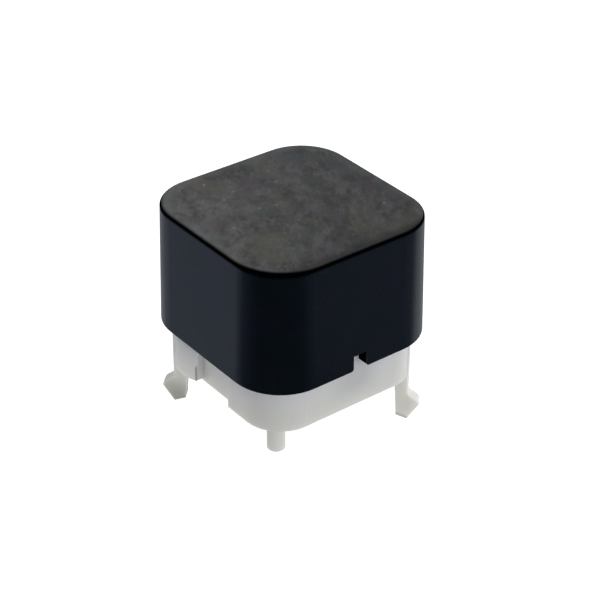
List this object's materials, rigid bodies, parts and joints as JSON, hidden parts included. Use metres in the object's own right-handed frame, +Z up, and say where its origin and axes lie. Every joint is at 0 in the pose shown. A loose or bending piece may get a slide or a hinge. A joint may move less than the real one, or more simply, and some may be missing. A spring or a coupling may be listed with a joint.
{
  "type": "tactile push button switch",
  "caption": "Square push button switch: a dark round-cornered cap over a milky snap-in housing, with hooks and locating pins on opposite diagonals and flat terminals below.",
  "frame": {"origin": "middle of the seat, at the top face of the board that the switch is clipped to", "axes": "+Z up out of the board, against the press; the front wall with the rim's notch faces -Y; the hooks stand at (-X, +Y) and (+X, -Y)"},
  "size_m": [0.015, 0.015, 0.0163],
  "materials": {
    "cap_black": "finely sparked top, satin sides",
    "slider_white": "natural acetal",
    "spring_steel": "drawn wire",
    "dome_steel": "rolled spring steel",
    "contact_plated": "silver-plated sheet",
    "base_grey": "glass-filled nylon",
    "housing_milky": "natural milky nylon, satin"
  },
  "bodies": {
    "base": {"housing": "housing_milky", "contact_base": "base_grey", "centre_contact": "contact_plated", "outer_contact": "contact_plated", "snap_dome": "dome_steel"},
    "button": {"keycap": "cap_black", "plunger": "slider_white"},
    "pusher": {"pusher": "slider_white", "actuating_spring": "spring_steel"}
  },
  "joints": [
    {"name": "button_press", "type": "slide", "parent": "base", "child": "button", "axis": [0, 0, -1], "range_m": [0, 0.0015], "stiffness_N_per_m": 580, "springref_m": -0.0016, "deforming": ["actuating_spring"]},
    {"name": "pusher_slide", "type": "slide", "parent": "base", "child": "pusher", "axis": [0, 0, -1], "range_m": [0, 0.00031], "deforming": ["snap_dome"]}
  ],
  "couplings": [
    {"joint": "pusher_slide", "follows": "button_press", "ratio": 0.2}
  ]
}
